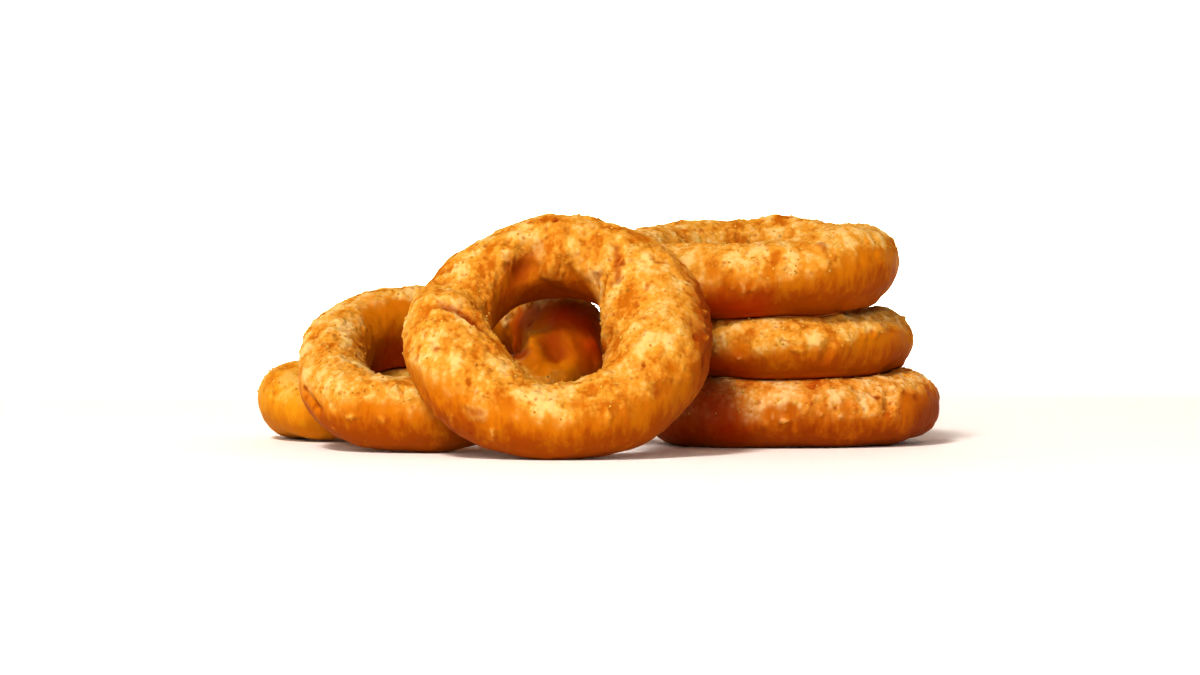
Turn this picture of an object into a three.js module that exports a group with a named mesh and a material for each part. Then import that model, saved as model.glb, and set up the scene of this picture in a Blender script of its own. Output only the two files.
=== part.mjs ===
import * as THREE from 'three';
import { mergeVertices } from 'three/addons/utils/BufferGeometryUtils.js';

// A side of six fried onion rings, piled as they are served: three stacked on the right, one flat
// behind on the left, one lying over it, and one in front that leans back on its neighbour.
// Millimetres, +Z up, the front of the pile towards -Y, standing on the plane Z = 0.

// Driving dimensions.
const stepsRound = 48;      // corners along each ring
const stepsTube = 20;       // corners round its section
const touchGap = 0.3;       // air left between two rings that touch
const footFlat = 0.6;       // how deep a ring's round underside is flattened where it stands

const degrees = THREE.MathUtils.degToRad;

// Each ring: reach is half its length and width measured to the middle of the crust, thick is how
// wide and how tall the crust is. Angles run round the ring from its right side (0), by its far side
// (90) and left side (180), to its near side (270), and round the crust from outside (0), by the
// top (90) and the hole (180), to the underside (270).
const rings = {
  stack_bottom: {
    colour: 0xc9822f, seed: 5,
    place: [50.3, 43, 12], tilt: 0, roll: 0, spin: 8,
    reach: [25.4, 24.6], thick: [17.2, 16.4],
    corners: 0.10,
    sway: [
      { at: 350, wide: 36, out: 0.3, up: 1.5, fat: 0.8 },
      { at: 204, wide: 34, out: 7.0, up: -0.3, fat: 0 },
      { at: 90, wide: 50, out: 0, up: 0.5, fat: 0.8 },
    ],
    lumps: [
      { at: [258, 40], wide: [16, 26], rise: 0.9 },
      { at: [292, 20], wide: [9, 20], rise: -0.7 },
      { at: [318, 60], wide: [10, 14], rise: 0.8 },
    ],
  },
  stack_middle: {
    colour: 0xd9923a, seed: 2,
    place: [43.5, 43.5, 30], tilt: 2.2, roll: 0.4, spin: 40,
    reach: [25.7, 25.1], thick: [16.2, 14.4],
    corners: 0.06,
    sway: [
      { at: 305, wide: 45, out: 1.2, up: 0, fat: 0.4 },
      { at: 50, wide: 50, out: 0, up: 0, fat: 2.0 },
    ],
    lumps: [
      { at: [270, 340], wide: [7, 40], rise: -1.0 },
      { at: [250, 20], wide: [12, 20], rise: 0.5 },
    ],
  },
  stack_top: {
    colour: 0xe09c44, seed: 9,
    place: [40.5, 43, 50], tilt: 6.0, roll: 1.2, spin: 0,
    reach: [25.6, 25.4], thick: [17.6, 17.2],
    corners: 0.08,
    sway: [
      { at: 322, wide: 40, out: 0.2, up: 1.8, fat: 2.8 },
      { at: 4, wide: 24, out: -0.6, up: 0.5, fat: 0.2 },
      { at: 232, wide: 26, out: 2.4, up: 0, fat: 0 },
      { at: 188, wide: 44, out: 4.6, up: 0.4, fat: 0 },
      { at: 156, wide: 20, out: 0, up: 1.3, fat: 0 },
      { at: 90, wide: 60, out: 0, up: 1.3, fat: 0.8 },
    ],
    lumps: [
      { at: [307, 62], wide: [8, 13], rise: 1.5 },
      { at: [307, 62], wide: [4.6, 8], rise: -2.0 },
      { at: [82, 85], wide: [8, 18], rise: 1.5 },
      { at: [128, 80], wide: [10, 20], rise: 0.7 },
    ],
  },
  ring_far_left: {
    colour: 0xe2a23a, seed: 14,
    place: [-54.8, 60, 12], tilt: 0, roll: 0, spin: 14,
    reach: [22.7, 16.5], thick: [16.4, 16.4],
    corners: 0.22,
    sway: [{ at: 172, wide: 30, out: 0, up: 1.9, fat: 4.0 }],
    lumps: [
      { at: [214, 90], wide: [26, 50], rise: -1.2 },
      { at: [168, 50], wide: [30, 40], rise: -0.9 },
      { at: [286, 95], wide: [20, 40], rise: 1.6 },
    ],
  },
  ring_left: {
    colour: 0xdf9a42, seed: 7,
    place: [-36.5, 23, 30], tilt: 21.5, roll: 3, spin: 0,
    reach: [27.4, 27.4], thick: [17.4, 17.4],
    corners: 0.10,
    sway: [
      { at: 6, wide: 42, out: 0.9, up: 2.6, fat: 4.2 },
      { at: 140, wide: 30, out: 1.4, up: 0.6, fat: 0.4 },
      { at: 228, wide: 28, out: 1.6, up: -0.4, fat: 0 },
      { at: 262, wide: 40, out: 0, up: -1.6, fat: 0 },
    ],
    lumps: [
      { at: [172, 60], wide: [24, 12], rise: -1.2 },
      { at: [14, 96], wide: [20, 18], rise: 1.2 },
      { at: [346, 112], wide: [9, 20], rise: -2.4 },
      { at: [328, 110], wide: [7, 26], rise: 1.2 },
      { at: [116, 240], wide: [26, 34], rise: 2.6 },
      { at: [276, 110], wide: [16, 36], rise: -1.2 },
    ],
  },
  ring_front: {
    colour: 0xe6a54c, seed: 3,
    place: [-9.2, -70, 32], tilt: 46, roll: 0, spin: 0,
    reach: [25.9, 25.6], thick: [19.7, 19.2],
    corners: 0.04,
    sway: [
      { at: 0, wide: 44, out: -1.9, up: 0, fat: 4.0 },
      { at: 265, wide: 44, out: 0.8, up: 0, fat: -2.0 },
      { at: 200, wide: 24, out: -0.3, up: 2.0, fat: 1.6 },
      { at: 144, wide: 17, out: 0.2, up: -2.4, fat: -0.6 },
      { at: 84, wide: 24, out: 1.0, up: 0, fat: 0 },
    ],
    lumps: [
      { at: [160, 90], wide: [7, 75], rise: -2.4, slant: 0.12 },
      { at: [174, 90], wide: [8, 60], rise: 1.4, slant: 0.12 },
      { at: [140, 60], wide: [9, 40], rise: 0.6 },
      { at: [109, 138], wide: [6, 40], rise: -2.2 },
      { at: [97, 132], wide: [6, 26], rise: 0.9 },
      { at: [24, 182], wide: [26, 52], rise: 2.4 },
      { at: [356, 184], wide: [12, 40], rise: 2.0 },
      { at: [226, 172], wide: [22, 54], rise: 2.9 },
      { at: [124, 20], wide: [12, 60], rise: -1.5 },
    ],
  },
};

// A smooth hump, 1 at its middle and fading to 0 over its half width, for angles in degrees.
function hump(angle, middle, halfWidth) {
  const away = THREE.MathUtils.euclideanModulo(angle - middle + 180, 360) - 180;
  return Math.exp(-((away / halfWidth) ** 2));
}

const batterRelief = 1.1;   // how far the slow waves of the batter move the crust
const cragCount = 46;       // small crags and dents on each ring
const cragRise = 0.75;      // how far the boldest of them stands out or goes in

// A repeatable draw from 0 to 1 for a ring's seed and an index.
function draw(seed, index) {
  const value = Math.sin(seed * 12.9898 + index * 78.233) * 43758.5453;
  return value - Math.floor(value);
}

// Uneven batter: a few slow waves whose counts and phases are drawn from the ring's seed.
function batterWaves(seed, round, tube) {
  const waves = 9;
  let height = 0;
  for (let wave = 0; wave < waves; wave += 1) {
    const aroundRing = 2 + Math.floor(draw(seed, wave) * 9);
    const aroundTube = Math.floor(draw(seed, wave + 20) * 4);
    const phase = draw(seed, wave + 40) * 2 * Math.PI;
    height += Math.sin(aroundRing * round + aroundTube * tube + phase) / waves;
  }
  return batterRelief * height;
}

// Crags: small lumps and dents scattered over the whole crust.
function crags(seed) {
  const lumps = [];
  for (let i = 0; i < cragCount; i += 1) {
    const wide = 5 + 4 * draw(seed, 100 + i);
    lumps.push({
      at: [360 * draw(seed, 200 + i), 360 * draw(seed, 300 + i)],
      wide: [wide, 2.4 * wide],
      rise: cragRise * (1.5 * draw(seed, 400 + i) - 0.5),
    });
  }
  return lumps;
}

// One ring in its own frame: a torus whose every corner is moved to the uneven form.
function ringGeometry(ring) {
  const [halfLong, halfWide] = ring.reach;
  const [thickAcross, thickUp] = ring.thick;
  const meanReach = (halfLong + halfWide) / 2;
  const meanTube = (thickAcross + thickUp) / 4;
  const lumps = [...ring.lumps, ...crags(ring.seed)];
  const torus = new THREE.TorusGeometry(meanReach, meanTube, stepsTube, stepsRound);
  torus.deleteAttribute('normal');
  torus.deleteAttribute('uv');
  const geometry = mergeVertices(torus, 1e-3);
  const corners = geometry.attributes.position;
  for (let i = 0; i < corners.count; i += 1) {
    const flatRadius = Math.hypot(corners.getX(i), corners.getY(i));
    const round = Math.atan2(corners.getY(i), corners.getX(i));
    const tube = Math.atan2(corners.getZ(i), flatRadius - meanReach);
    const roundDegrees = THREE.MathUtils.radToDeg(round);
    const tubeDegrees = THREE.MathUtils.radToDeg(tube);
    let out = 0;
    let up = 0;
    let fat = 0;
    for (const sway of ring.sway) {
      const strength = hump(roundDegrees, sway.at, sway.wide);
      out += strength * sway.out;
      up += strength * sway.up;
      fat += strength * sway.fat;
    }
    let rise = fat / 2 + batterWaves(ring.seed, round, tube);
    for (const lump of lumps) {
      const middle = lump.at[0] + (lump.slant ?? 0) * (tubeDegrees - lump.at[1]);
      rise += lump.rise * hump(roundDegrees, middle, lump.wide[0])
        * hump(tubeDegrees, lump.at[1], lump.wide[1]);
    }
    const squareness = 1 + ring.corners * Math.sin(2 * round) ** 2 * 0.5;
    const across = (thickAcross / 2 + rise) * Math.cos(tube);
    const height = (thickUp / 2 + rise) * Math.sin(tube);
    const x = (halfLong * squareness + out + across) * Math.cos(round);
    const y = (halfWide * squareness + out + across) * Math.sin(round);
    corners.setXYZ(i, x, y, height + up);
  }
  return geometry;
}

function makeRing(name) {
  const ring = rings[name];
  const crust = new THREE.MeshStandardMaterial({ color: ring.colour, roughness: 0.6, metalness: 0 });
  const mesh = new THREE.Mesh(ringGeometry(ring), crust);
  mesh.name = name;
  mesh.position.set(...ring.place);
  mesh.rotation.order = 'YXZ';
  mesh.rotation.set(degrees(ring.tilt), degrees(-ring.roll), degrees(ring.spin));
  mesh.updateMatrixWorld(true);
  return mesh;
}

function worldCorners(mesh) {
  const corners = mesh.geometry.attributes.position;
  const points = [];
  for (let i = 0; i < corners.count; i += 1) {
    points.push(new THREE.Vector3().fromBufferAttribute(corners, i).applyMatrix4(mesh.matrixWorld));
  }
  return points;
}

// How far a ring can travel in a direction before it meets another: rays run from the corners of
// each towards the other.
function roomBetween(mover, obstacle, direction) {
  const reverse = direction.clone().negate();
  const caster = new THREE.Raycaster();
  let room = Infinity;
  const measure = (points, heading, target) => {
    for (const point of points) {
      caster.set(point.clone().addScaledVector(heading, -100), heading);
      const hits = caster.intersectObject(target, false);
      for (const hit of hits) {
        room = Math.min(room, hit.distance - 100);
      }
    }
  };
  measure(worldCorners(mover), direction, obstacle);
  measure(worldCorners(obstacle), reverse, mover);
  return room;
}

function lowestPoint(mesh) {
  return Math.min(...worldCorners(mesh).map((point) => point.z));
}

function moveBy(mesh, direction, distance) {
  mesh.position.addScaledVector(direction, distance);
  mesh.updateMatrixWorld(true);
}

// Lower a ring until it stands on the plane or is the touching gap above another ring.
function lowerOnto(mesh, others) {
  const down = new THREE.Vector3(0, 0, -1);
  let drop = lowestPoint(mesh) + footFlat;
  for (const other of others) {
    drop = Math.min(drop, roomBetween(mesh, other, down) - touchGap);
  }
  moveBy(mesh, down, drop);
}

// Slide a standing ring back until it is the touching gap in front of its neighbours.
function slideBackTo(mesh, others) {
  const back = new THREE.Vector3(0, 1, 0);
  const room = Math.min(...others.map((other) => roomBetween(mesh, other, back)));
  moveBy(mesh, back, room - touchGap);
}

// Flatten the underside where the ring stands on the plane.
function flattenFoot(mesh) {
  const corners = mesh.geometry.attributes.position;
  const toLocal = mesh.matrixWorld.clone().invert();
  worldCorners(mesh).forEach((point, i) => {
    if (point.z < 0) {
      point.setZ(0).applyMatrix4(toLocal);
      corners.setXYZ(i, point.x, point.y, point.z);
    }
  });
}

const made = {};
for (const name of Object.keys(rings)) {
  made[name] = makeRing(name);
}
lowerOnto(made.stack_bottom, []);
lowerOnto(made.stack_middle, [made.stack_bottom]);
lowerOnto(made.stack_top, [made.stack_middle]);
lowerOnto(made.ring_far_left, []);
lowerOnto(made.ring_left, [made.ring_far_left]);
lowerOnto(made.ring_front, []);
slideBackTo(made.ring_front, [made.ring_left, made.stack_bottom, made.stack_middle, made.stack_top]);

const pile = new THREE.Group();
for (const ring of Object.values(made)) {
  flattenFoot(ring);
  pile.add(ring);
}
const middle = new THREE.Box3().setFromObject(pile, true).getCenter(new THREE.Vector3());
pile.position.set(-middle.x, -middle.y, 0);   // the origin lies under the middle of the pile

export default pile;
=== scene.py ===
import bpy
import math
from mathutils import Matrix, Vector


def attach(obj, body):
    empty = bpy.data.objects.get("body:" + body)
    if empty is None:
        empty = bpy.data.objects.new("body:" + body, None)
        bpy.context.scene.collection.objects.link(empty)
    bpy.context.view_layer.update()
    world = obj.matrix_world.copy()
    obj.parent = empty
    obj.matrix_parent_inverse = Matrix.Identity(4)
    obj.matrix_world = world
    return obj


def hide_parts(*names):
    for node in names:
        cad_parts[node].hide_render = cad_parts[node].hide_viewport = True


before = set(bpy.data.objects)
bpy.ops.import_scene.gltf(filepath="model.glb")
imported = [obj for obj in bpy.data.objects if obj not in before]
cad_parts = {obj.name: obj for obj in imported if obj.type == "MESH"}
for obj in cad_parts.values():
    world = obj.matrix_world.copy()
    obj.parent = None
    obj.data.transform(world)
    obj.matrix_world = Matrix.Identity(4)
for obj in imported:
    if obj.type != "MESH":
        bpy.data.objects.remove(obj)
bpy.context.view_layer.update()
mm = 0.001
print("frame loaded")


def onlySelect(piece):
    bpy.ops.object.select_all(action="DESELECT")
    piece.select_set(True)
    bpy.context.view_layer.objects.active = piece


def colour(hexCode):   # sRGB hex to linear, as the shaders want it
    channels = [int(hexCode[i:i + 2], 16) / 255 for i in (1, 3, 5)]
    return [c / 12.92 if c <= 0.04045 else ((c + 0.055) / 1.055) ** 2.4 for c in channels] + [1.0]


def addNode(tree, kind, settings=None, sockets=None):   # one node with its settings and its links
    node = tree.nodes.new(kind)
    for name, value in (settings or {}).items():
        setattr(node, name, value)
    for name, value in (sockets or {}).items():
        if isinstance(value, bpy.types.NodeSocket):
            tree.links.new(value, node.inputs[name])
        else:
            node.inputs[name].default_value = value
    return node


def maths(tree, operation, first, second, third=None):   # one maths node, as an output
    sockets = {0: first, 1: second} if third is None else {0: first, 1: second, 2: third}
    return addNode(tree, "ShaderNodeMath", {"operation": operation}, sockets).outputs[0]


def vectorMaths(tree, operation, first, second):
    node = addNode(tree, "ShaderNodeVectorMath", {"operation": operation}, {0: first, 1: second})
    return node.outputs["Value"] if operation in ("DOT_PRODUCT", "DISTANCE") else node.outputs[0]


def scaled(tree, vector, factor):
    sockets = {0: vector, "Scale": factor}
    return addNode(tree, "ShaderNodeVectorMath", {"operation": "SCALE"}, sockets).outputs[0]


def smooth(tree, value, start, end, low=0.0, high=1.0):   # eased step from start to end
    sockets = {"Value": value, "From Min": start, "From Max": end, "To Min": low, "To Max": high}
    return addNode(tree, "ShaderNodeMapRange", {"interpolation_type": "SMOOTHSTEP"}, sockets).outputs[0]


def noise(tree, vector, size, detail=2.0, roughness=0.5):   # size is the width of one swell in mm
    sockets = {"Vector": vector, "Scale": 1 / (size * mm), "Detail": detail, "Roughness": roughness}
    return addNode(tree, "ShaderNodeTexNoise", None, sockets)


def swing(tree, vector, size, reach, detail=2.0, roughness=0.5):   # noise that goes from -reach to reach
    value = noise(tree, vector, size, detail, roughness).outputs[0]
    return maths(tree, "MULTIPLY_ADD", value, 2 * reach, -reach)


def cells(tree, vector, size):   # size is the width of one cell in mm
    return addNode(tree, "ShaderNodeTexVoronoi", None, {"Vector": vector, "Scale": 1 / (size * mm)})


def mixed(tree, factor, first, second):   # blend of two colours
    return addNode(tree, "ShaderNodeMix", {"data_type": "RGBA"}, {0: factor, 6: first, 7: second}).outputs[2]


def partOf(tree, vector, axis):   # one number out of a vector or a colour
    return addNode(tree, "ShaderNodeSeparateXYZ", None, {0: vector}).outputs[axis]


def newTree(name):
    tree = bpy.data.node_groups.new(name, "GeometryNodeTree")
    tree.interface.new_socket("Geometry", in_out="INPUT", socket_type="NodeSocketGeometry")
    tree.interface.new_socket("Geometry", in_out="OUTPUT", socket_type="NodeSocketGeometry")
    return tree


def storeFloat(tree, geometry, name, value, domain="POINT"):
    sockets = {"Geometry": geometry, "Name": name, "Value": value}
    settings = {"data_type": "FLOAT", "domain": domain}
    return addNode(tree, "GeometryNodeStoreNamedAttribute", settings, sockets).outputs[0]


def applyTree(piece, tree):   # runs a geometry tree on a piece and keeps the result
    modifier = piece.modifiers.new(tree.name, "NODES")
    modifier.node_group = tree
    onlySelect(piece)
    bpy.ops.object.modifier_apply(modifier=modifier.name)


def newMaterial(name, values):   # values are set on the shader's own sockets
    material = bpy.data.materials.new(name)
    material.use_nodes = True
    shader = material.node_tree.nodes["Principled BSDF"]
    for socket, value in values.items():
        shader.inputs[socket].default_value = value
    return material


# the camera's place and the height it looks at, aimAway in front of it, in mm
view = {"x": 1.6, "y": -693.0, "height": 40.0, "aimHeight": 26.4, "aimAway": 700.0, "lens": 85.0}


def makeCamera():
    down = math.atan((view["height"] - view["aimHeight"]) / view["aimAway"])
    place = Vector((view["x"], view["y"], view["height"])) * mm
    bpy.ops.object.camera_add(location=place, rotation=(math.pi / 2 - down, 0, 0))
    camera = bpy.context.object
    camera.name = "camera"
    camera.data.lens = view["lens"]
    camera.data.clip_start = 0.01
    bpy.context.scene.camera = camera


# in metres; corners: how many the round sweep has, steps: how many its curve is made in
table = {"flatRadius": 1.3, "curveRadius": 0.5, "wallHeight": 0.9, "corners": 96, "steps": 8,
         "roughness": 0.9, "colour": "#f6f5f3"}


def makeTable():   # pale sweep whose rim turns up all round, so that no horizon shows
    bpy.ops.object.select_all(action="DESELECT")
    corners = table["corners"]
    bpy.ops.mesh.primitive_circle_add(vertices=corners, radius=table["flatRadius"], fill_type="NGON")
    floor = bpy.context.object
    floor.name = "floor"
    bpy.ops.object.mode_set(mode="EDIT")
    bpy.ops.mesh.select_all(action="SELECT")
    bpy.ops.mesh.select_mode(type="EDGE")
    bpy.ops.mesh.region_to_loop()
    radius = table["flatRadius"]
    height = 0.0
    for step in range(1, table["steps"] + 1):
        turn = step / table["steps"] * math.pi / 2
        newRadius = table["flatRadius"] + table["curveRadius"] * math.sin(turn)
        newHeight = table["curveRadius"] * (1 - math.cos(turn))
        bpy.ops.mesh.extrude_edges_move(TRANSFORM_OT_translate={"value": (0, 0, newHeight - height)})
        grow = newRadius / radius
        bpy.ops.transform.resize(value=(grow, grow, 1), center_override=(0, 0, 0))
        radius = newRadius
        height = newHeight
    bpy.ops.mesh.extrude_edges_move(TRANSFORM_OT_translate={"value": (0, 0, table["wallHeight"])})
    bpy.ops.mesh.select_all(action="SELECT")
    bpy.ops.mesh.normals_make_consistent(inside=True)
    bpy.ops.object.mode_set(mode="OBJECT")
    bpy.ops.object.shade_smooth()
    # matte paper: soft white that takes a pale shadow
    floor.data.materials.append(newMaterial("matte white paper sweep", {
        "Base Color": colour(table["colour"]), "Roughness": table["roughness"]}))


# turn is degrees from straight ahead towards the left, lift is degrees up, away and size are in metres;
# the backdrop's light doesn't aim at the rings: tilt turns it down and back, at the sweep alone
lights = {
    "keyLight": {"turn": 28, "lift": 50, "away": 2.2, "size": 0.44, "power": 40, "colour": "#fffefc"},
    "fillLight": {"turn": 12, "lift": 18, "away": 1.4, "size": 0.5, "power": 5, "colour": "#fffefc"},
    "backdropLight": {"turn": 180, "lift": 39, "away": 1.42, "size": 1.1, "power": 20, "colour": "#ffffff",
                      "tilt": 15, "spread": 85},
}
# dim light from all round, and the picture's gamma, which adds contrast below 1
room = {"colour": "#ffb06c", "strength": 0.17, "gamma": 0.74}


def makeLights():
    target = Vector((0, 0, 0.025))   # the middle of the pile
    for name, values in lights.items():
        turn = math.radians(values["turn"])
        lift = math.radians(values["lift"])
        towards = Vector((-math.sin(turn) * math.cos(lift), -math.cos(turn) * math.cos(lift), math.sin(lift)))
        bpy.ops.object.light_add(type="AREA", location=target + towards * values["away"])
        lamp = bpy.context.object
        lamp.name = name
        lamp.rotation_euler = towards.to_track_quat("Z", "Y").to_euler()
        if "tilt" in values:
            lamp.rotation_euler = (math.radians(values["tilt"]), 0, 0)
            lamp.data.spread = math.radians(values["spread"])
        lamp.data.size = values["size"]
        lamp.data.energy = values["power"]
        lamp.data.color = colour(values["colour"])[:3]
    world = bpy.data.worlds.new("warm room")
    world.use_nodes = True
    background = world.node_tree.nodes["Background"]
    background.inputs["Color"].default_value = colour(room["colour"])
    background.inputs["Strength"].default_value = room["strength"]
    bpy.context.scene.world = world
    bpy.context.scene.view_settings.view_transform = "Standard"
    bpy.context.scene.view_settings.gamma = room["gamma"]


makeCamera()
makeTable()
makeLights()
print("camera, floor and lights ready")

# mm of soft: low batter swells, clump: stuck crumbs 3 mm wide, grain: single crumbs, pit: small hollows;
# edge: how far down the sides the crumbs go, 1 at the top to -1 at the underside, higher: how much further
# for each cm up, tone: how much paler than the rest
ringRelief = {
    "ring_front": {"seed": 3, "soft": 0.45, "clump": 0.55, "grain": 0.34, "pit": 0.4,
                   "edge": 0.3, "higher": 0.17, "tone": -0.15},
    "ring_left": {"seed": 17, "soft": 0.45, "clump": 0.55, "grain": 0.34, "pit": 0.4,
                  "edge": 0.1, "higher": 0.0, "tone": 0.1},
    "ring_far_left": {"seed": 29, "soft": 0.4, "clump": 0.15, "grain": 0.08, "pit": 0.1,
                      "edge": 0.1, "higher": 0.0, "tone": 0.1},
    "stack_top": {"seed": 41, "soft": 0.45, "clump": 0.45, "grain": 0.28, "pit": 0.3,
                  "edge": -0.08, "higher": 0.0, "tone": 0.0},
    "stack_middle": {"seed": 53, "soft": 0.45, "clump": 0.55, "grain": 0.34, "pit": 0.3,
                     "edge": -0.12, "higher": 0.0, "tone": 0.3},
    "stack_bottom": {"seed": 67, "soft": 0.5, "clump": 0.65, "grain": 0.38, "pit": 0.4,
                     "edge": -0.08, "higher": 0.0, "tone": 0.1},
}

# wide: how many mm a mark reaches, rise: mm out of the crust, tone: -1 darkest to 1 palest, carrying real
# browning and paleness as well as painted light and shade,
# crumbs: more or fewer grains, and last how far it takes on the deep red-brown of painted shade
markKinds = {
    # a dent whose darker tone is painted shade in the recess
    "hollow": {"wide": 5.6, "rise": -1.6, "tone": -0.35, "crumbs": -0.9},
    # painted shade on the right-hand sides, which turn away from the key light
    "brownedAndShaded": {"wide": 13.0, "tone": -0.58},
    "smooth": {"wide": 8.0, "tone": 0.1, "crumbs": -1.0},
    # painted shadow: deep red-brown where another ring's shadow falls and on a dark hole wall
    "paintedShadowPatch": {"wide": 9.5, "soak": 0.75},
    "swollen": {"wide": 4.0, "rise": 1.3, "tone": -0.3},
    "bulge": {"wide": 3.4, "rise": 0.9, "tone": 0.1, "crumbs": 0.3},
    # a groove whose darker tone is painted shade in it
    "crease": {"wide": 2.2, "rise": -1.0, "tone": -0.5},
    "seam": {"wide": 1.3, "rise": 0.5, "tone": 0.6},
    "crumbly": {"wide": 4.2, "tone": -0.15, "crumbs": 1.0},
    "blemish": {"wide": 2.8, "rise": -0.3, "tone": -0.5, "crumbs": 1.0},
    "speck": {"wide": 1.6, "rise": 0.1, "tone": -0.65},
    # a raised run of batter and crumb, painted paler as a highlight
    "drip": {"wide": 1.2, "rise": 0.6, "tone": 0.7},
    "pit": {"wide": 1.8, "rise": -0.25, "tone": -0.3},
    "amber": {"wide": 3.6, "rise": -0.25, "tone": -0.25, "crumbs": -0.7},
    # painted highlight: a paler patch where the light falls brightest
    "paleAndPaintedLight": {"wide": 4.4, "rise": 0.25, "tone": 0.5},
    # batter with its crumbs gone, its darker tone painted shade
    "bare": {"wide": 11.0, "tone": -0.3, "crumbs": -1.3},
    # a shallow groove with its crumbs gone, darkened as painted shade on crust that lies in shadow
    "paintedShadeLine": {"wide": 5.0, "rise": -0.5, "tone": -0.35, "crumbs": -1.0},
    # painted rim light: a paler crumb band along the top edge of a ring's end that lies in shadow
    "rim": {"wide": 2.0, "rise": 0.4, "tone": 0.35, "crumbs": 1.2, "soak": -0.3},
    "blister": {"wide": 2.6, "rise": 1.1, "tone": -0.65, "crumbs": -0.5},
}

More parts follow.
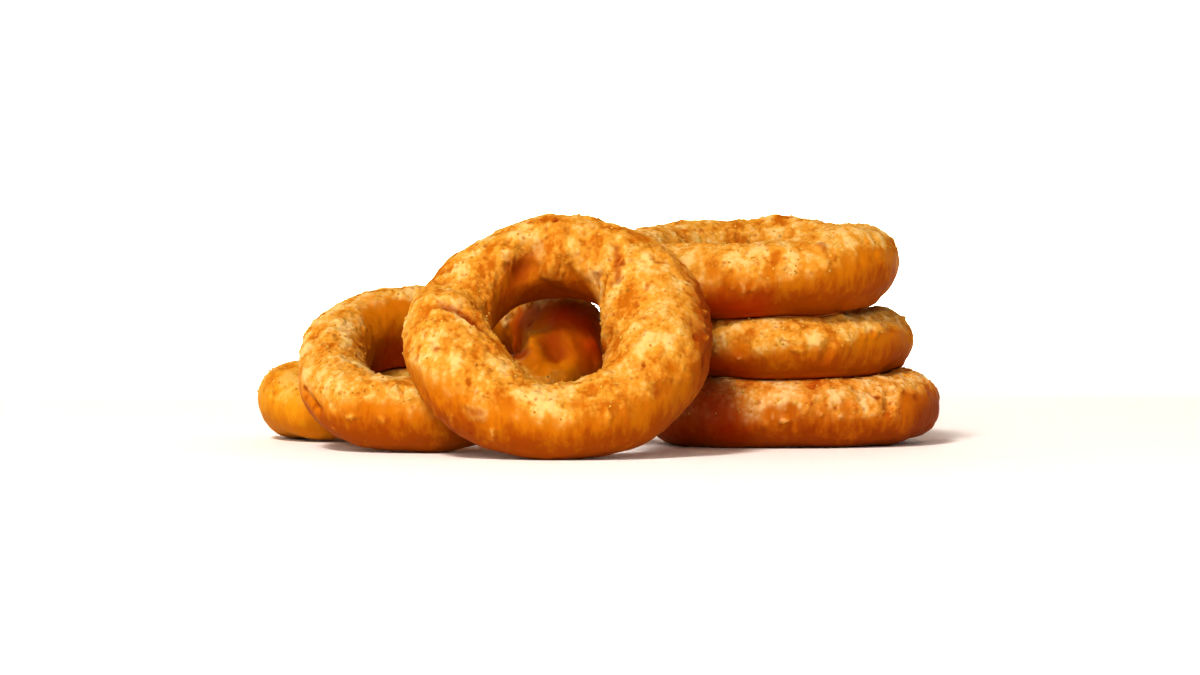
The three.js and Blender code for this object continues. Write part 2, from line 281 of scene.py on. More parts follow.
# where the marks lie on each ring, mm in the frame; a pair of points is a mark drawn from one to the other
ringMarks = {
    "ring_front": {
        "hollow": [((-13, -24, 48.5), (-17, -25.5, 43))],
        "paintedShadeLine": [((-17, -25.5, 43), (-21.5, -26.5, 34)), ((-16, -22, 37), (-8, -21, 38))],
        "brownedAndShaded": [((28, -30, 38), (27, -44, 20))],
        "swollen": [((3.8, -36, 24.5), (4, -43, 22.5))],
        "bulge": [((-10.5, -25.5, 42.5), (-6.5, -23, 39.5)), ((-32.5, -40, 37), (-26.5, -33, 35))],
        "crease": [((-35, -42, 35), (-28, -44.5, 31.5)), ((-28, -44.5, 31.5), (-23, -44.5, 27.5)),
            ((5.5, -27, 48.5), (5.5, -32.5, 40.5))],
        "seam": [((3.5, -25, 50), (4, -30.5, 41.5)), ((15, -54, 18.5), (22, -49.5, 18.5))],
        "crumbly": [((2.5, -31, 36.5), (4.5, -43.5, 23)), ((-33.5, -43.5, 34), (-25, -41, 31)),
            ((25.5, -29, 38), (25.5, -42.5, 27))],
        "blemish": [((-28, -56.5, 11), (-25, -57.5, 10.5)), (14, -55, 15.5)],
        "speck": [(-27.5, -56, 8), (-27.5, -54.5, 6), (-31.5, -51, 6.5), (-9, -20, 55), (-35.5, -51.5, 25)],
        "drip": [((-35.5, -50, 10.5), (-35, -49, 9.5)), ((-31.5, -54, 10), (-31.5, -52.5, 7.5)),
            ((3, -59.5, 11.5), (3.5, -59.5, 10)), ((-22.5, -58, 7), (-22.5, -56.5, 5)), (25, -29, 38.5),
            (25.5, -30.5, 36.5), (25.5, -36.5, 33), (25.5, -41, 30), (25.5, -42, 27)],
        "pit": [(-36.5, -50, 26), (-28.5, -53, 23), (-26.5, -56, 18), (-14.5, -51.5, 18), (-18, -53.5, 19),
            (-19.5, -50.5, 21.5), (-21.5, -50.5, 23), (-10.5, -58.5, 14), (-26.5, -56.5, 15.5),
            (12, -37.5, 38.5), (9, -41.5, 32.5), (-6, -23.5, 52), (-2, -23.5, 51.5), (-20.5, -26.5, 46),
            (-18.5, -27, 45.5), (-25.5, -27, 46), (-34.5, -53.5, 14), (0.5, -58, 14.5), (12.5, -50.5, 25)],
        "amber": [(-32, -50.5, 27.5), (-18.5, -59, 13), (17.5, -52.5, 21), (22, -44, 31), (4.5, -37.5, 29),
            (-4, -59, 13), (10.5, -53.5, 21), (16, -31, 45), (-34.5, -29, 39.5)],
        "paleAndPaintedLight": [(-17.5, -23, 50.5), (-5.5, -25.5, 47), (11, -34.5, 41.5), (14.5, -41.5, 35.5),
            (4, -57, 16.5), (-7.5, -57, 15), (-31, -53.5, 22.5), (-36.5, -52.5, 18), (-37.5, -43.5, 32.5),
            (14, -49.5, 27), (-25, -55, 20), (-14, -57.5, 15)],
    },
    "ring_left": {
        "speck": [(-68, -13.5, 19.5), (-68.5, -8.5, 22), (-69, -16, 15), (-48, 17, 37), (-43.5, 19, 38),
            (-55, 18.5, 37.5)],
        "crease": [((-69, -16.5, 14), (-66.5, -22, 11.5)), ((-66.5, -22, 11.5), (-65, -24, 10)),
            ((-15.5, -5.5, 30), (1, -7, 29.5))],
        "blemish": [(-61, -28.5, 11), (-66.5, 9, 31.5)],
        "pit": [(-60.5, -14, 22.5), (-64.5, -7.5, 25), (-67.5, -4.5, 25), (-56.5, -1, 24.5),
            (-54.5, 7, 28.5), (-52, -23, 18), (-51, -30.5, 15.5), (-49.5, -32.5, 13.5), (-58, -29.5, 13.5)],
        "drip": [(-56.5, 4.5, 28.5), (-57, -3.5, 24.5), (-55, 2.5, 24), ((-49.5, -34, 9), (-49, -34, 8)),
            ((-57.5, -31, 8.5), (-55, -32, 9)), (-61, -26.5, 5.5), ((-15, -11, 27), (-14.5, -20.5, 25)),
            (-13, -27.5, 20)],
        "amber": [(-53, -33, 10.5), (-48, -34, 11), (-60, 4, 31), (-48.5, 13.5, 34.5)],
        "paleAndPaintedLight": [(-59.5, -26.5, 16.5), (-56.5, -31, 12), (-45.5, -32, 14.5), (-64, -3.5, 27),
            (-42.5, -32.5, 14.5), (-54.5, 13.5, 35.5), ((-6, -24.5, 19), (0, -17, 18))],
        "bulge": [((-14, -13.5, 27), (-13.5, -24.5, 22.5))],
        "hollow": [((-10.5, -19.5, 27), (-9, -23, 23))],
        "smooth": [((-57, 11, 34), (-44, 17, 35)), ((-57, -1, 26), (-54, 9, 30))],
        "paintedShadowPatch": [((-18, 4, 29), (-7, -9, 31)), ((-4, -9, 31), (0, -6, 31)), ((1, -14, 27), (0, -18, 22)),
            ((-52, 14, 22), (-42, 19, 22))],
        "swollen": [((-54, 14.5, 18.5), (-44, 21, 18)), (-18.5, -20, 22.5), (-19.5, 7, 23.5),
            ((0.5, -14.5, 24.5), (2, -13.5, 20.5))],
        "bare": [((-17, 0, 29), (-6, -10, 31)), ((-4, -10, 31), (0, -6, 31)), ((-8, -21, 25), (-1, -17, 22)),
            ((-15, -12, 27), (-13, -23, 23))],
        "paintedShadeLine": [((-11, -17, 27.5), (-8, -22, 24)), ((-8, -15, 28.5), (-3, -18, 25.5)),
            ((-20, 9.5, 25.5), (-17.5, -21, 23)), ((-17.5, -21, 23), (-13.5, -28, 20)),
            ((0.5, -14.5, 24), (2.5, -11.5, 21))],
        "rim": [((-22, 10.5, 30), (-20, 9, 32.5)), ((-20, 9, 32.5), (-15.5, 1.5, 34.5)),
            ((-15.5, 1.5, 34.5), (-12, -3.5, 35)), ((-12, -3.5, 35), (-8, -5.5, 35.5)),
            ((-8, -5.5, 35.5), (-4.5, -3.5, 35)), ((-4.5, -3.5, 35), (-1, 1.5, 34.5))],
    },
    "ring_far_left": {
        "paleAndPaintedLight": [(-76, 14.5, 12), (-77.5, 15.5, 10)],
        "amber": [(-82.5, 29, 3.5), (-84, 23, 10.5), (-79.5, 25.5, 18.5)],
    },
    "stack_top": {
        "smooth": [((60, -13, 40), (69, -7, 43)), ((69, -7, 43), (76, 8, 44))],
        "amber": [(28.5, -15.5, 43), (50, 36.5, 54.5), (35, 34.5, 51), (42, -16.5, 43), (64.5, -9, 48),
            (60, -11, 46), (68, -6, 46.5), (72, 0, 47)],
        "swollen": [((62, -5, 34.5), (68, 3, 36.5))],
        "blister": [(55, -12.5, 48)],
        "drip": [(57.5, -13, 46), (56, -14, 45), ((33, -16.5, 40), (33, -16.5, 38.5)),
            ((35.5, -16.5, 39.5), (36, -16, 38)), (38, -16, 43), ((39, -16.5, 41.5), (38.5, -16.5, 40)),
            ((38.5, -16, 39), (38, -16, 38)), ((41, -16, 39.5), (41.5, -15.5, 37.5)), (69.5, -5.5, 46.5),
            (71, -4.5, 45), (74, 3.5, 48)],
        "bulge": [(47, 41, 56.5), (51, 40.5, 56.5)],
        "speck": [(14.5, 14, 51), (13, 3.5, 50), (17.5, -3, 49), (8.5, 9, 50.5), (7, 10.5, 50),
            (27.5, 34.5, 53), (34, 36, 53.5), (26.5, -8.5, 49.5), (50.5, 40, 56), (37, 40.5, 55.5),
            (43.5, 40, 55.5), (62, 33, 54.5), (30.5, 40, 55.5), ((53.3, -12.5, 49.2), (55.5, -11.5, 49.8)),
            ((57.5, -12.3, 48.4), (57.8, -13, 46.8))],
        "paintedShadowPatch": [((24, -12, 34), (38, -15, 33))],
        "pit": [(35.5, -14.5, 46), (40.5, -15, 46), (42.5, -15, 46), (46.5, -9, 50), (49, -8.5, 50),
            (54, 33, 52.5), (64.5, -10, 45)],
        "paleAndPaintedLight": [(36.5, -13, 48), (55, -6.5, 52), (23, -13, 46), (43, 36.5, 53), (60.5, -10, 49),
            (47, -14.5, 46.5)],
    },
    "stack_middle": {
        "brownedAndShaded": [((73, 1, 23), (79, 10, 25))],
        "bare": [((68, -5, 22), (76, 3, 25))],
        "swollen": [((64, 28, 32), (72, 21, 32))],
        "paintedShadowPatch": [((24, -6, 20), (32, -12, 18)), ((53, 35.5, 31), (66, 27.5, 32))],
        "bulge": [(42, 37, 31), (47, 37, 31), (50, -7, 31), (58, 32.5, 31), (59, -3.5, 31.5)],
        "drip": [((39, -15, 25.5), (39, -15, 24)), ((48, -15.5, 24), (50, -15, 23.5)), (35, -14, 22),
            ((61.5, -10.5, 26), (61.5, -10.5, 25)), (66, -7, 26.5), (63.5, -7, 29), (65.5, -6.5, 28.5),
            (68.5, -5, 27), (67, -1, 31), (30.5, -9, 29.5)],
        "crease": [((57, -13.5, 25.5), (55.5, -13.5, 22))],
        "speck": [(67.5, -3, 30.5), (67.5, -5.5, 28), (65, -7.5, 27), (70, -2, 29.5)],
        "pit": [(33.5, -12, 28.5), (41, -15, 27), (36.5, -14, 26), (44.5, -15.5, 25)],
        "amber": [(57, -10, 29.5), (52, -13.5, 28.5), (35, -14, 24.5), (64.5, -8, 23.5)],
        "paleAndPaintedLight": [(34, -11.5, 29), (38, -13.5, 28.5), (43, -13.5, 29.5), (49, -12.5, 29.5), (55, -8.5, 30.5)],
    },
    "stack_bottom": {
        "brownedAndShaded": [((80, 1, 6), (86, 10, 9))],
        "bare": [((79, -2, 8), (86, 9, 9))],
        "paintedShadowPatch": [((20, -5, 6), (33, -13, 6)), ((22, -5, 13), (30, -10, 11))],
        "drip": [((43, -16, 10.5), (43, -16, 7.5)), ((46, -15.5, 12.5), (46, -16, 9.5)), (45.5, -15.5, 7),
            ((45, -16, 7), (46.5, -16, 7)), (49, -16, 10.5), ((51, -16, 9.5), (52.5, -15, 12)),
            ((52.5, -15, 12), (55.5, -14.5, 13)), (54.5, -15.5, 8.5), ((72, -7.5, 12.5), (72.5, -8.5, 9.5)),
            (72, -9.5, 8), (50.5, -11.5, 15.5), (58.5, 37, 15), (32.5, -8.5, 15.5), (75, -1, 16),
            (59, -14.5, 8)],
        "crease": [((63.5, -10, 15), (68.5, -9, 13)), ((71.5, -7.5, 13), (71, -9.5, 9.5))],
        "speck": [(68.5, -9.5, 12), (82, 3, 13)],
        "pit": [(53, -15.5, 10.5), (58, -14.5, 10), (64, -12, 11.5), (66.5, -11, 10.5), (43.5, -15, 12.5),
            (76, -4.5, 13.5), (78.5, -3, 12), (48.5, -15.5, 12.5)],
        "amber": [(60.5, -14, 10.5), (75.5, -5, 12.5), (81.5, 4.5, 14.5), (53, 37, 15.5), (42.5, -16, 9),
            (47, -16, 10), (51.5, -12.5, 15.5)],
        "paleAndPaintedLight": [(59, -13, 13.5), (41, -14, 13.5), (72, -4, 15.5), (46, -14.5, 13.5), (64.5, -7, 15.5)],
    },
}


def markFields(tree, place, marks):   # what all marks of a ring add up to at a point
    totals = {"rise": 0.0, "tone": 0.0, "crumbs": 0.0, "soak": 0.0}
    for kind, places in marks.items():
        values = markKinds[kind]
        for spot in places:
            ends = spot if isinstance(spot[0], tuple) else (spot, spot)
            first = Vector(ends[0]) * mm
            along = Vector(ends[1]) * mm - first
            nearest = first
            if along.length > 0:
                fromFirst = vectorMaths(tree, "SUBTRACT", place, first)
                share = vectorMaths(tree, "DOT_PRODUCT", fromFirst, along / along.length_squared)
                share = addNode(tree, "ShaderNodeClamp", None, {0: share}).outputs[0]
                nearest = vectorMaths(tree, "ADD", scaled(tree, along, share), first)
            reach = vectorMaths(tree, "DISTANCE", place, nearest)
            near = smooth(tree, reach, values["wide"] * mm, 0.0)
            for name in totals:
                if name in values:
                    totals[name] = maths(tree, "MULTIPLY_ADD", near, values[name], totals[name])
    return totals


def neighbourDistance(tree, name):   # how far the nearest other ring is
    others = addNode(tree, "GeometryNodeJoinGeometry")
    for other in ringRelief:
        if other != name:
            ring = addNode(tree, "GeometryNodeObjectInfo", {"transform_space": "RELATIVE"},
                           {"Object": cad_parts[other]})
            tree.links.new(ring.outputs["Geometry"], others.inputs[0])
    near = addNode(tree, "GeometryNodeProximity", {"target_element": "FACES"}, {0: others.outputs[0]})
    return near.outputs["Distance"]


# the same on every ring, in mm: how wide each thing is, and how far up and down it goes where it says deep
crustForm = {
    "swell": 7.0, "clump": 2.7, "crumb": 1.5, "pit": 2.6, "grit": 0.8, "gritDeep": 0.1,
    "batterRun": 1.6, "batterRunDeep": 0.2,
    "edge": 8.0, "edgeRun": 2.0,   # swings of the crumbs' lower edge, and the runs of crumbs below it
    "markBend": 1.6, "markBendFar": 1.4,   # width and reach of the bends that keep marks from being round
    "crumbBend": 1.0, "crumbBendFar": 0.9,
    "contactShadeFrom": 2.2, "contactShadeFull": 0.4,   # distances to the next ring at which painted contact shade begins and where it is full
    "meetFrom": 2.6, "meetFull": 1.0,   # and from which the two crusts grow together
}
keyLightWay = (-0.5, -0.45, 0.74)   # roughly the way to the key light: up, forwards and left; crumbs turned away from it get painted shade


def reliefTree(name, values):   # crumbs, pits, runs and marks of one ring, and the values its material reads
    form = crustForm
    tree = newTree("relief_" + name)
    groupIn = addNode(tree, "NodeGroupInput")
    place = addNode(tree, "GeometryNodeInputPosition").outputs[0]
    normal = addNode(tree, "GeometryNodeInputNormal").outputs[0]
    own = vectorMaths(tree, "ADD", place, (values["seed"] * 0.1, values["seed"] * 0.07, 0))   # no two alike
    tall = vectorMaths(tree, "MULTIPLY", own, (1, 1, 0.6))
    streaky = vectorMaths(tree, "MULTIPLY", own, (1, 1, 0.22))
    facing = partOf(tree, normal, "Z")

    # marks, bent a little so that none is round
    bend = vectorMaths(tree, "SUBTRACT", noise(tree, own, form["markBend"], 3.0).outputs[1], (0.5, 0.5, 0.5))
    bent = vectorMaths(tree, "ADD", place, scaled(tree, bend, form["markBendFar"] * mm))
    marks = markFields(tree, bent, ringMarks[name])

    # where crumbs stuck: on top and down to a ragged edge with runs below it
    lean = swing(tree, own, form["edge"], 0.4, 3.0, 0.6)
    runs = swing(tree, streaky, form["edgeRun"], 0.3)
    height = maths(tree, "ADD", facing, maths(tree, "ADD", lean, runs))
    height = maths(tree, "MULTIPLY_ADD", partOf(tree, place, "Z"), values["higher"] * 100, height)
    height = maths(tree, "MULTIPLY_ADD", marks["crumbs"], 0.6, height)
    cover = smooth(tree, height, values["edge"] - 0.32, values["edge"] + 0.3)

    rise = swing(tree, own, form["swell"], values["soft"] * mm)
    rise = maths(tree, "MULTIPLY_ADD", marks["rise"], mm, rise)

    # clumps of crumbs, drawn out downwards
    clump = smooth(tree, noise(tree, tall, form["clump"], 3.0, 0.55).outputs[0], 0.36, 0.68)
    clumpRise = maths(tree, "MULTIPLY", clump, cover)
    rise = maths(tree, "MULTIPLY_ADD", clumpRise, values["clump"] * mm, rise)

    # single crumbs: bent cells, each of its own height
    bend = scaled(tree, noise(tree, own, form["crumbBend"]).outputs[1], form["crumbBendFar"] * mm)
    crumb = cells(tree, vectorMaths(tree, "ADD", own, bend), form["crumb"])
    chance = partOf(tree, crumb.outputs["Color"], "X")
    dome = smooth(tree, crumb.outputs["Distance"], 0.66, 0.05)
    surplus = maths(tree, "SUBTRACT", maths(tree, "MULTIPLY_ADD", cover, 1.12, 0.08), chance)
    present = smooth(tree, surplus, 0.0, 0.2)   # a few stand alone on the bare batter
    single = maths(tree, "MULTIPLY", dome, maths(tree, "MULTIPLY_ADD", chance, 0.7, 0.3))
    more = maths(tree, "ADD", marks["crumbs"], 1.0)
    more = addNode(tree, "ShaderNodeClamp", None, {0: more, 2: 2.0}).outputs[0]
    single = maths(tree, "MULTIPLY", single, maths(tree, "MULTIPLY", present, more))
    rise = maths(tree, "MULTIPLY_ADD", single, values["grain"] * mm, rise)

    # small pits, and grit over all the crumbs
    elsewhere = vectorMaths(tree, "ADD", tall, (0.5, 0, 0))
    pit = smooth(tree, noise(tree, elsewhere, form["pit"], 1.0).outputs[0], 0.60, 0.72)
    pit = maths(tree, "MULTIPLY", pit, cover)
    rise = maths(tree, "MULTIPLY_ADD", pit, -values["pit"] * mm, rise)
    rise = maths(tree, "MULTIPLY_ADD", swing(tree, own, form["grit"], form["gritDeep"] * mm), cover, rise)

    # the bare batter below has run a little
    bare = maths(tree, "SUBTRACT", 1.0, cover)
    run = swing(tree, streaky, form["batterRun"], form["batterRunDeep"] * mm, 1.0)
    rise = maths(tree, "MULTIPLY_ADD", run, bare, rise)

    # painted shade: crumbs on the sides turned away from the key light, inside the holes and below, are made
    # less pale
    oilyAndKeyShade = smooth(tree, vectorMaths(tree, "DOT_PRODUCT", normal, keyLightWay), -0.25, 0.55, 1.0, 0.0)
    grain = maths(tree, "MULTIPLY_ADD", clumpRise, 0.5, maths(tree, "MULTIPLY", single, 0.5))
    grain = maths(tree, "MULTIPLY_ADD", oilyAndKeyShade, -2.2, grain)
    tone = maths(tree, "ADD", maths(tree, "MULTIPLY_ADD", pit, -0.4, marks["tone"]), values["tone"])
    coverSeen = maths(tree, "MAXIMUM", maths(tree, "POWER", cover, 1.4), maths(tree, "MULTIPLY", single, 0.9))
    # marks painted paler, painted highlights among them, show crumb colour
    coverSeen = maths(tree, "MAXIMUM", coverSeen, smooth(tree, marks["tone"], 0.25, 0.8))

    # where rings lie together the crusts have met halfway, and near another ring the crust is darkened with
    # painted contact shade
    apart = neighbourDistance(tree, name)
    contactShade = smooth(tree, apart, form["contactShadeFrom"] * mm, form["contactShadeFull"] * mm)
    soak = addNode(tree, "ShaderNodeClamp", None, {0: maths(tree, "ADD", contactShade, marks["soak"])}).outputs[0]
    toMeeting = maths(tree, "SUBTRACT", maths(tree, "MULTIPLY", apart, 0.5), rise)
    met = smooth(tree, apart, form["meetFrom"] * mm, form["meetFull"] * mm)
    rise = maths(tree, "MULTIPLY_ADD", toMeeting, met, rise)

    geometry = groupIn.outputs[0]
    stored = {"grain": grain, "cover": coverSeen, "tone": tone, "facing": facing, "soak": soak}
    for attribute, value in stored.items():
        geometry = storeFloat(tree, geometry, attribute, value)

    # nothing goes below the table
    moved = vectorMaths(tree, "ADD", place, scaled(tree, normal, rise))
    moved = vectorMaths(tree, "MAXIMUM", moved, (-1, -1, 0))
    crust = addNode(tree, "GeometryNodeSetPosition", None, {"Geometry": geometry, "Position": moved})
    addNode(tree, "NodeGroupOutput", None, {0: crust.outputs[0]})
    return tree


def makeCrust(node):   # the ring's own form, made fine enough to carry crumbs
    onlySelect(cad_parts[node])
    bpy.ops.object.duplicate()
    piece = bpy.context.object
    piece.name = node + "_crust"
    piece.data.name = piece.name
    piece.data.materials.clear()
    bpy.ops.object.mode_set(mode="EDIT")
    bpy.ops.mesh.select_all(action="SELECT")
    bpy.ops.mesh.remove_doubles(threshold=0.02 * mm)
    bpy.ops.mesh.tris_convert_to_quads(face_threshold=math.pi, shape_threshold=math.pi)
    bpy.ops.object.mode_set(mode="OBJECT")
    finer = piece.modifiers.new("finer", "SUBSURF")
    finer.levels = finer.render_levels = 3
    bpy.ops.object.modifier_apply(modifier=finer.name)
    applyTree(piece, reliefTree(node, ringRelief[node]))
    onlySelect(piece)
    bpy.ops.object.shade_smooth()
    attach(piece, "root")
    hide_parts(node)
    return piece


crusts = {}
for node in ringRelief:
    crusts[node] = makeCrust(node)
    print("crust made:", node, len(crusts[node].data.polygons), "faces")

# perCm2: crumbs on a square centimetre of fully crumbed crust, size: half width in mm, patch: mm across
# the patches they lie in, from: how well covered a place has to be, paleFrom: how pale, knocked: how uneven
# each is; the colours are the darkest and the lightest crumb's
looseCrumbs = {
    "seed": 5, "perCm2": 18, "size": (0.2, 0.5), "patch": 5.0, "from": 0.3, "paleFrom": -0.5,
    "knocked": 0.35, "dark": "#c08628", "light": "#d2aa60",
}


def crumbShape():   # one angular crumb that all the others are turned and scaled from
    bpy.ops.mesh.primitive_ico_sphere_add(subdivisions=1, radius=1.0)
    crumb = bpy.context.object
    crumb.name = "crumb_seed"
    bpy.ops.object.mode_set(mode="EDIT")
    bpy.ops.mesh.select_all(action="SELECT")
    bpy.ops.transform.vertex_random(offset=looseCrumbs["knocked"], uniform=0.4, seed=4)
    bpy.ops.object.mode_set(mode="OBJECT")
    return crumb


def storedFloat(tree, name):
    return addNode(tree, "GeometryNodeInputNamedAttribute", {"data_type": "FLOAT"}, {"Name": name}).outputs[0]


def randomVector(tree, low, high, seed):
    sockets = {"Min": (low, low, low), "Max": (high, high, high), "Seed": seed}
    return addNode(tree, "FunctionNodeRandomValue", {"data_type": "FLOAT_VECTOR"}, sockets).outputs[0]


def crumbTree(shape):   # scatters crumbs on the crusts and leaves only the crumbs
    tree = newTree("golden_crumbs_spread")
    groupIn = addNode(tree, "NodeGroupInput")
    place = addNode(tree, "GeometryNodeInputPosition").outputs[0]
    patch = smooth(tree, noise(tree, place, looseCrumbs["patch"], 3.0, 0.6).outputs[0], 0.35, 0.62)
    covered = smooth(tree, storedFloat(tree, "cover"), looseCrumbs["from"], 1.0)
    # fewer loose crumbs where the tone is dark, from browning and from painted shade
    notDarkToned = smooth(tree, storedFloat(tree, "tone"), looseCrumbs["paleFrom"], 0.0)
    share = maths(tree, "MULTIPLY", maths(tree, "MULTIPLY", covered, patch), notDarkToned)
    perM2 = looseCrumbs["perCm2"] * 1e4
    density = maths(tree, "MULTIPLY", share, perM2)
    points = addNode(tree, "GeometryNodeDistributePointsOnFaces", None,
                     {"Mesh": groupIn.outputs[0], "Density": density, "Seed": looseCrumbs["seed"]})
    crumb = addNode(tree, "GeometryNodeObjectInfo", None, {"Object": shape, "As Instance": True})
    low, high = (size * mm for size in looseCrumbs["size"])
    placed = addNode(tree, "GeometryNodeInstanceOnPoints", None,
                     {"Points": points.outputs[0], "Instance": crumb.outputs["Geometry"],
                      "Rotation": randomVector(tree, 0, 6.28, 1),
                      "Scale": randomVector(tree, low, high, 2)}).outputs[0]
    shade = addNode(tree, "FunctionNodeRandomValue", {"data_type": "FLOAT"}, {"Seed": 3}).outputs[1]
    shaded = storeFloat(tree, placed, "shade", shade, "INSTANCE")
    real = addNode(tree, "GeometryNodeRealizeInstances", None, {"Geometry": shaded}).outputs[0]
    addNode(tree, "NodeGroupOutput", None, {0: real})
    return tree


def makeLooseCrumbs():
    shape = crumbShape()
    bpy.ops.object.select_all(action="DESELECT")
    for crust in crusts.values():
        crust.select_set(True)
    bpy.context.view_layer.objects.active = crusts["ring_front"]
    bpy.ops.object.duplicate()
    bpy.ops.object.join()
    piece = bpy.context.object
    piece.name = "golden_crumbs"
    piece.data.name = piece.name
    applyTree(piece, crumbTree(shape))
    piece.data.materials.clear()
    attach(piece, "root")
    onlySelect(shape)
    bpy.ops.object.delete()
    return piece


crumbs = makeLooseCrumbs()
print("loose crumbs made:", len(crumbs.data.polygons), "faces")


def readFloat(tree, name):
    return addNode(tree, "ShaderNodeAttribute", {"attribute_name": name}).outputs["Fac"]


# widths in mm of what shows on the crust, pitDeep is a depth
crustPattern = {"granule": 1.1, "granuleBend": 0.7, "granuleBendFar": 0.5, "patch": 3.2, "broad": 7.0,
                "streak": 1.7, "dot": 1.9, "pit": 0.6, "pitDeep": 0.15}
paintedShadeBrown = colour("#aa3402")   # painted shade: the deep red-brown that crust is darkened to near other rings and in cast shadows
batterIor = 1.46


def crustMaterial(name, values):
    # fried crumb coating: pale dry crumb tips over amber gaps, bare oily batter underneath
    material = newMaterial(name, {
        "IOR": batterIor, "Specular IOR Level": 0.05,   # the crumbs shade each other's sheen
        "Subsurface Weight": 0.3, "Subsurface Radius": (1.0, 0.35, 0.1), "Subsurface Scale": 2.0 * mm})
    pattern = crustPattern
    tree = material.node_tree
    shader = tree.nodes["Principled BSDF"]
    place = addNode(tree, "ShaderNodeTexCoord").outputs["Object"]
    grain, cover = readFloat(tree, "grain"), readFloat(tree, "cover")
    tone, facing = readFloat(tree, "tone"), readFloat(tree, "facing")

    # golden crumbs: how pale one is follows its height, the patch it lies in and the marks, with the painted
    # shade of crumbs turned from the key light and the marks' painted light and shade
    tall = vectorMaths(tree, "MULTIPLY", place, (1, 1, 0.6))
    bend = noise(tree, place, pattern["granuleBend"]).outputs[1]
    bent = vectorMaths(tree, "ADD", place, scaled(tree, bend, pattern["granuleBendFar"] * mm))
    granule = cells(tree, bent, pattern["granule"])
    shadeOfOne = partOf(tree, granule.outputs["Color"], "X")
    patch = noise(tree, tall, pattern["patch"]).outputs[0]
    broad = noise(tree, tall, pattern["broad"], 1.0).outputs[0]
    paleAndPaintedLight = maths(tree, "MULTIPLY_ADD", grain, 0.5, maths(tree, "MULTIPLY_ADD", shadeOfOne, 0.42, -0.16))
    paleAndPaintedLight = maths(tree, "ADD", paleAndPaintedLight, smooth(tree, granule.outputs["Distance"], 0.35, 0.6, 0.05, -0.25))
    paleAndPaintedLight = maths(tree, "ADD", paleAndPaintedLight, maths(tree, "MULTIPLY_ADD", patch, 3.3, -1.6))
    paleAndPaintedLight = maths(tree, "ADD", paleAndPaintedLight, maths(tree, "MULTIPLY_ADD", broad, 2.9, -1.25))
    paleAndPaintedLight = maths(tree, "MULTIPLY_ADD", tone, 0.45, paleAndPaintedLight)
    golden = mixed(tree, smooth(tree, paleAndPaintedLight, -0.8, 0.3), colour(values["gap"]), colour(values["mid"]))
    golden = mixed(tree, smooth(tree, paleAndPaintedLight, 0.1, 1.3), golden, colour(values["tip"]))

    # bare batter: amber in streaks, and darker towards the underside, partly real browning and partly painted
    # shade
    streaky = vectorMaths(tree, "MULTIPLY", place, (1, 1, 0.3))
    streak = swing(tree, streaky, pattern["streak"], 0.85, 3.0, 0.6)
    shade = maths(tree, "ADD", streak, maths(tree, "MULTIPLY_ADD", broad, 1.2, -0.6))
    low = smooth(tree, maths(tree, "ADD", facing, shade), 0.2, -0.75)
    batter = mixed(tree, low, colour(values["batter"]), colour(values["under"]))
    crust = mixed(tree, cover, batter, golden)

    # brown dots between the crumbs, dark-toned spots of browning and painted shade, and painted shade near
    # other rings and in cast shadows
    dotted = cells(tree, bent, pattern["dot"])
    dotOrNot = partOf(tree, dotted.outputs["Color"], "Y")
    dots = maths(tree, "MULTIPLY", smooth(tree, dotted.outputs["Distance"], 0.4, 0.12), cover)
    dots = maths(tree, "MULTIPLY", dots, smooth(tree, dotOrNot, 0.2, 0.9, 0.0, 0.55))
    crust = mixed(tree, dots, crust, colour(values["dot"]))
    # dark tone turns to brown, for real browning and for painted shade alike
    brownedAndShaded = smooth(tree, tone, -0.2, -0.9, 0.0, 0.85)
    crust = mixed(tree, brownedAndShaded, crust, colour(values["brownAndShade"]))
    crust = mixed(tree, maths(tree, "MULTIPLY", readFloat(tree, "soak"), 0.9), crust, paintedShadeBrown)
    tree.links.new(crust, shader.inputs["Base Color"])

    # crumbs scatter light, bare batter keeps a film of oil
    tree.links.new(smooth(tree, cover, 0.0, 1.0, values["oilyAndKeyShade"], values["dry"]), shader.inputs["Roughness"])
    pitting = noise(tree, place, pattern["pit"], 3.0, 0.6).outputs[0]
    strength = smooth(tree, cover, 0.0, 1.0, 0.12, 0.5)
    bump = addNode(tree, "ShaderNodeBump", None, {
        "Height": pitting, "Strength": strength, "Distance": pattern["pitDeep"] * mm}).outputs[0]
    tree.links.new(bump, shader.inputs["Normal"])
    return material


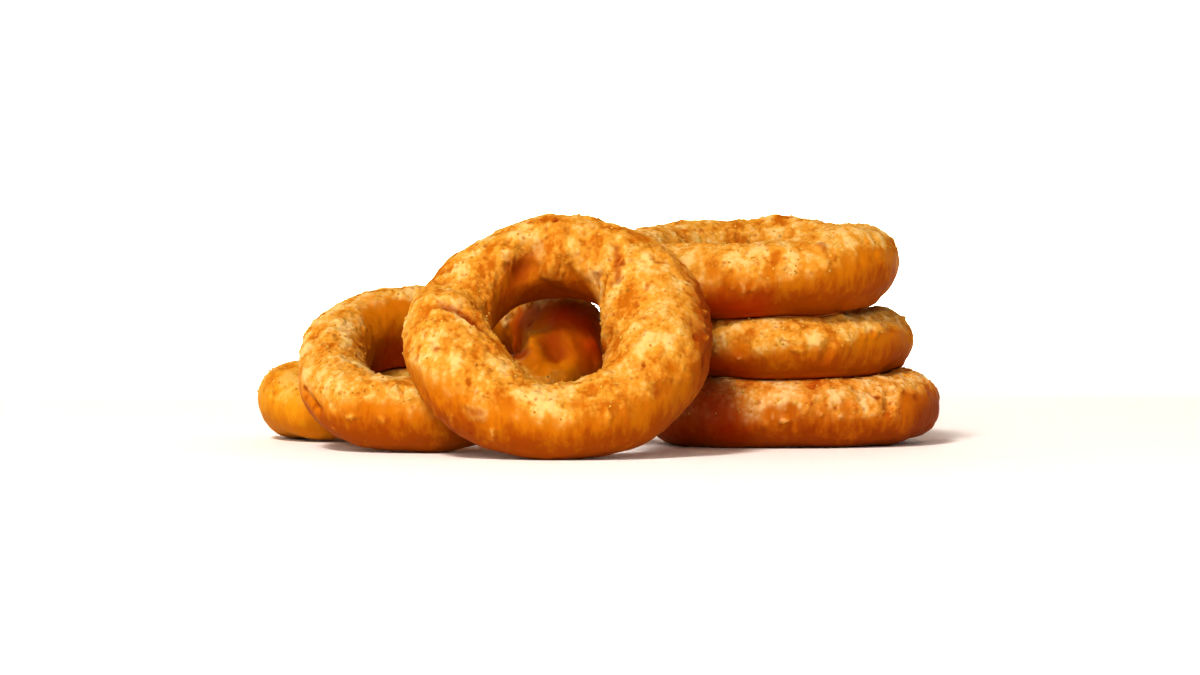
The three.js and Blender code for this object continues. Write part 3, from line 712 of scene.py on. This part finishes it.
# gap, mid and tip: crumbs from low to high, batter and under: bare batter on the sides and below,
# then a dot colour for browned spots, a brown for browning and painted shade, and the roughness of oily bare
# batter and of crumbs
crustLooks = {
    "crumbed batter fried golden": {
        "gap": "#b26e12", "mid": "#c9963c", "tip": "#d4b67a", "batter": "#bc780a", "under": "#a05404",
        "dot": "#a0560e", "brownAndShade": "#903e06", "oilyAndKeyShade": 0.5, "dry": 0.66},
    "crumbed batter fried deep": {
        "gap": "#ae6010", "mid": "#c8903c", "tip": "#d6b884", "batter": "#b86e0a", "under": "#984a04",
        "dot": "#9a4c0c", "brownAndShade": "#843404", "oilyAndKeyShade": 0.48, "dry": 0.66},
    "plain yellow batter fried": {
        "gap": "#b8740f", "mid": "#ca942a", "tip": "#cea85a", "batter": "#cc921a", "under": "#be7a0c",
        "dot": "#a46610", "brownAndShade": "#84480c", "oilyAndKeyShade": 0.52, "dry": 0.66},
}
crustSlots = {   # which look and record slot each ring takes
    "ring_front": ("crumbed batter fried golden", "crust_golden"),
    "ring_left": ("crumbed batter fried golden", "crust_golden"),
    "ring_far_left": ("plain yellow batter fried", "crust_batter"),
    "stack_top": ("crumbed batter fried golden", "crust_golden"),
    "stack_middle": ("crumbed batter fried golden", "crust_golden"),
    "stack_bottom": ("crumbed batter fried deep", "crust_deep"),
}
crustMaterials = {name: crustMaterial(name, values) for name, values in crustLooks.items()}
for node, (look, slot) in crustSlots.items():
    crusts[node].data.materials.append(crustMaterials[look])


def crumbMaterial():
    # dry loose crumbs, each of its own shade, and so small that light comes through them
    material = newMaterial("dry golden crumbs", {
        "Roughness": 0.7, "IOR": batterIor, "Specular IOR Level": 0.05,
        "Subsurface Weight": 0.8, "Subsurface Radius": (1.0, 0.5, 0.2), "Subsurface Scale": 1.5 * mm})
    tree = material.node_tree
    dark, light = colour(looseCrumbs["dark"]), colour(looseCrumbs["light"])
    shades = mixed(tree, readFloat(tree, "shade"), dark, light)
    tree.links.new(shades, tree.nodes["Principled BSDF"].inputs["Base Color"])
    return material


crumbs.data.materials.append(crumbMaterial())
print("materials set")
